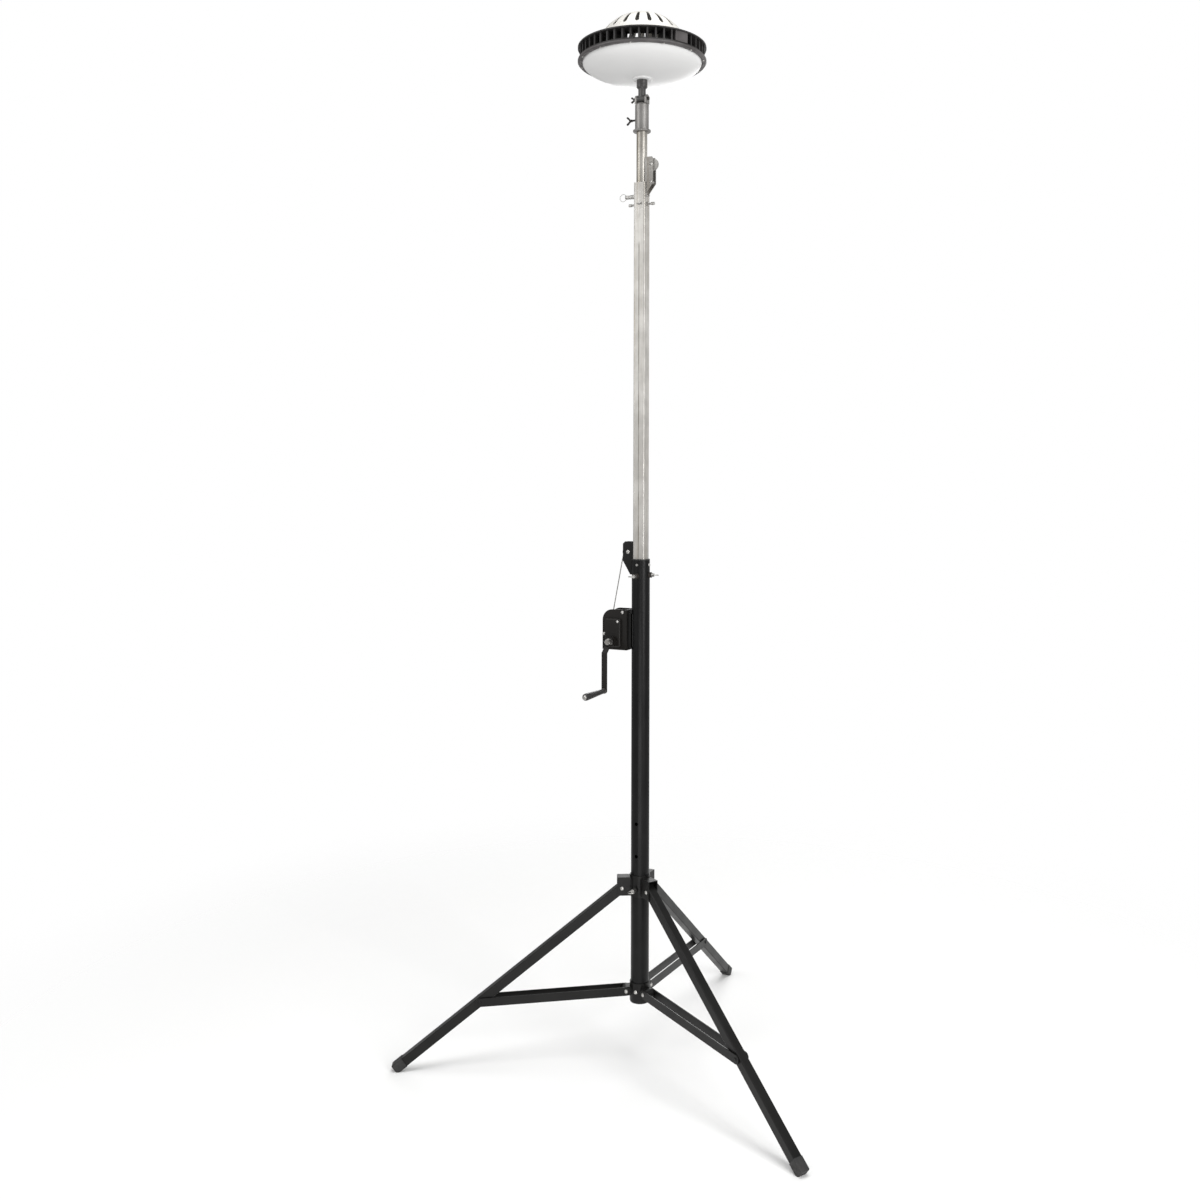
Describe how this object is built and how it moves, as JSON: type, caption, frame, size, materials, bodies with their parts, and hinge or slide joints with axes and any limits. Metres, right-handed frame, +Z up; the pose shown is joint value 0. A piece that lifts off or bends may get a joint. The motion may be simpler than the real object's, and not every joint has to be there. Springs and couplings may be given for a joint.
{
  "type": "crank lighting stand",
  "caption": "Telescopic lighting stand on a folding tripod, raised by a cable hand winch, with a round domed work light on a tilting head.",
  "frame": {"origin": "middle of the footprint at floor level; the mast stands a quarter of a leg's reach in front of it, towards -Y", "axes": "+Z up the mast, -X the winch side, -Y the crank handle's side, +Y the single rear leg"},
  "size_m": [1.4074, 1.2199, 3.462],
  "materials": {
    "black_steel": "satin",
    "galvanised": "satin",
    "inner_tube": "satin",
    "sleeve_metal": "satin",
    "zinc": "satin",
    "dark_fittings": "satin",
    "stem_metal": "satin",
    "cast_body": "satin",
    "bezel_metal": "satin",
    "white_cover": "satin",
    "lens": "satin",
    "rubber": "matte",
    "black_plastic": "matte",
    "grey_plastic": "satin",
    "driver_case": "matte",
    "steel_cable": "satin",
    "brass": "satin",
    "gear_steel": "satin",
    "circuit_board": "matte"
  },
  "bodies": {
    "base": {"base_tube": "black_steel", "lower_collar": "black_steel", "lower_collar_bolts": "zinc", "base_top_bush": "black_plastic", "base_pulley_bracket": "black_steel", "base_head_bolts": "zinc", "lift_cable": "steel_cable", "lock_housings": "dark_fittings", "winch_bracket": "black_steel", "winch_frame": "black_steel", "winch_gear_cover": "black_steel", "winch_bolts": "zinc", "winch_shaft_bushes": "brass", "ratchet_wheel": "gear_steel", "pawl_spring": "steel_cable"},
    "winch_drum": {"winch_drum": "gear_steel", "drum_gear": "gear_steel", "cable_turns": "steel_cable"},
    "crank": {"crank_shaft": "gear_steel", "crank_arm": "black_steel", "crank_hub_nut": "zinc", "grip_bolt": "zinc"},
    "grip": {"crank_grip": "black_plastic"},
    "pawl": {"ratchet_pawl": "gear_steel"},
    "base_pulley": {"base_pulley": "black_plastic"},
    "front_lock": {"front_lock_pin": "zinc"},
    "side_lock": {"side_lock_pin": "zinc"},
    "collar": {"upper_collar": "black_steel", "upper_collar_bolts": "zinc"},
    "collar_lock": {"collar_lock_pin": "zinc"},
    "middle_section": {"middle_tube": "galvanised", "middle_bottom_plug": "black_plastic", "head_bracket": "galvanised", "head_fasteners": "zinc", "middle_fasteners": "dark_fittings"},
    "head_pulley": {"head_pulley": "grey_plastic"},
    "middle_lock": {"middle_lock_pin": "zinc"},
    "upper_section": {"upper_tube": "inner_tube"},
    "sleeve": {"light_sleeve": "sleeve_metal"},
    "sleeve_wing": {"sleeve_wing_screw": "dark_fittings"},
    "lamp": {"lamp_stem": "stem_metal", "lamp_lens": "lens", "lens_flange": "stem_metal", "lamp_bezel": "bezel_metal", "bezel_screws": "zinc", "lamp_fin_ring": "cast_body", "terminal_box": "cast_body", "lamp_dome": "white_cover", "led_board": "circuit_board", "lamp_driver": "driver_case"},
    "tilt_wing": {"tilt_wing_screw": "dark_fittings"},
    "leg_1": {"leg_tube_1": "black_steel", "leg_foot_1": "rubber"},
    "brace_1": {"brace_1": "black_steel"},
    "leg_2": {"leg_tube_2": "black_steel", "leg_foot_2": "rubber"},
    "brace_2": {"brace_2": "black_steel"},
    "leg_3": {"leg_tube_3": "black_steel", "leg_foot_3": "rubber"},
    "brace_3": {"brace_3": "black_steel"}
  },
  "joints": [
    {"name": "mast_slide", "type": "slide", "parent": "base", "child": "middle_section", "axis": [0, 0, 1], "range_m": [-1.1, 0.06]},
    {"name": "drum_spin", "type": "hinge", "parent": "base", "child": "winch_drum", "pos_m": [-0.086, -0.20099, 1.4299], "axis": [0, 1, 0], "range_deg": [-200, 3200]},
    {"name": "crank_spin", "type": "hinge", "parent": "base", "child": "crank", "pos_m": [-0.083, -0.20099, 1.384], "axis": [0, 1, 0], "range_deg": [-11300, 700]},
    {"name": "base_pulley_spin", "type": "hinge", "parent": "base", "child": "base_pulley", "pos_m": [-0.043, -0.20099, 1.677], "axis": [0, 1, 0], "range_deg": [-200, 3400]},
    {"name": "grip_spin", "type": "hinge", "parent": "crank", "child": "grip", "pos_m": [-0.083, -0.20099, 1.228], "axis": [0, 1, 0], "continuous": true},
    {"name": "pawl_swing", "type": "hinge", "parent": "base", "child": "pawl", "pos_m": [-0.064, -0.20099, 1.4], "axis": [0, 1, 0], "range_deg": [0, 20], "stiffness_Nm_per_rad": 0.01, "springref_deg": -11.46},
    {"name": "front_lock_slide", "type": "slide", "parent": "base", "child": "front_lock", "axis": [0, -1, 0], "range_m": [0, 0.01], "stiffness_N_per_m": 400, "springref_m": -0.002},
    {"name": "side_lock_slide", "type": "slide", "parent": "base", "child": "side_lock", "axis": [1, 0, 0], "range_m": [0, 0.01], "stiffness_N_per_m": 400, "springref_m": -0.002},
    {"name": "collar_slide", "type": "slide", "parent": "base", "child": "collar", "axis": [0, 0, 1], "range_m": [0, 0.72616]},
    {"name": "collar_lock_slide", "type": "slide", "parent": "collar", "child": "collar_lock", "axis": [0, -1, 0], "range_m": [0, 0.01], "stiffness_N_per_m": 400, "springref_m": -0.002},
    {"name": "head_pulley_spin", "type": "hinge", "parent": "middle_section", "child": "head_pulley", "pos_m": [0.039, -0.20099, 2.958], "axis": [0, 1, 0], "continuous": true},
    {"name": "middle_lock_slide", "type": "slide", "parent": "middle_section", "child": "middle_lock", "axis": [-1, 0, 0], "range_m": [0, 0.01], "stiffness_N_per_m": 400, "springref_m": -0.002},
    {"name": "upper_slide", "type": "slide", "parent": "middle_section", "child": "upper_section", "axis": [0, 0, 1], "range_m": [-0.085, 1]},
    {"name": "lamp_pan", "type": "hinge", "parent": "upper_section", "child": "sleeve", "pos_m": [0, -0.20099, 3.1], "axis": [0, 0, 1], "continuous": true},
    {"name": "sleeve_wing_turn", "type": "hinge", "parent": "sleeve", "child": "sleeve_wing", "pos_m": [-0.04, -0.20099, 3.112], "axis": [1, 0, 0], "continuous": true},
    {"name": "lamp_tilt", "type": "hinge", "parent": "sleeve", "child": "lamp", "pos_m": [0, -0.20099, 3.18], "axis": [1, 0, 0], "range_deg": [-90, 90]},
    {"name": "tilt_wing_turn", "type": "hinge", "parent": "sleeve", "child": "tilt_wing", "pos_m": [0, -0.20099, 3.18], "axis": [1, 0, 0], "continuous": true},
    {"name": "leg_fold_1", "type": "hinge", "parent": "collar", "child": "leg_1", "pos_m": [0, -0.14099, 0.575], "axis": [-1, 0, 0], "range_deg": [0, 53]},
    {"name": "brace_fold_1", "type": "hinge", "parent": "base", "child": "brace_1", "pos_m": [0, -0.15499, 0.239], "axis": [-1, 0, 0], "range_deg": [-91.5, 0]},
    {"name": "leg_fold_2", "type": "hinge", "parent": "collar", "child": "leg_2", "pos_m": [-0.05196, -0.23099, 0.575], "axis": [0.5, -0.866, 0], "range_deg": [0, 53]},
    {"name": "brace_fold_2", "type": "hinge", "parent": "base", "child": "brace_2", "pos_m": [-0.03984, -0.22399, 0.239], "axis": [0.5, -0.866, 0], "range_deg": [-91.5, 0]},
    {"name": "leg_fold_3", "type": "hinge", "parent": "collar", "child": "leg_3", "pos_m": [0.05196, -0.23099, 0.575], "axis": [0.5, 0.866, 0], "range_deg": [0, 53]},
    {"name": "brace_fold_3", "type": "hinge", "parent": "base", "child": "brace_3", "pos_m": [0.03984, -0.22399, 0.239], "axis": [0.5, 0.866, 0], "range_deg": [-91.5, 0]}
  ],
  "couplings": [
    {"joint": "drum_spin", "follows": "mast_slide", "rad_per_m": -49.383},
    {"joint": "crank_spin", "follows": "mast_slide", "rad_per_m": 177.78},
    {"joint": "base_pulley_spin", "follows": "mast_slide", "rad_per_m": -51.948},
    {"joint": "leg_fold_1", "follows": "collar_slide", "rad_per_m": 1.257},
    {"joint": "brace_fold_1", "follows": "collar_slide", "rad_per_m": -2.1855},
    {"joint": "leg_fold_2", "follows": "collar_slide", "rad_per_m": 1.257},
    {"joint": "brace_fold_2", "follows": "collar_slide", "rad_per_m": -2.1855},
    {"joint": "leg_fold_3", "follows": "collar_slide", "rad_per_m": 1.257},
    {"joint": "brace_fold_3", "follows": "collar_slide", "rad_per_m": -2.1855}
  ]
}
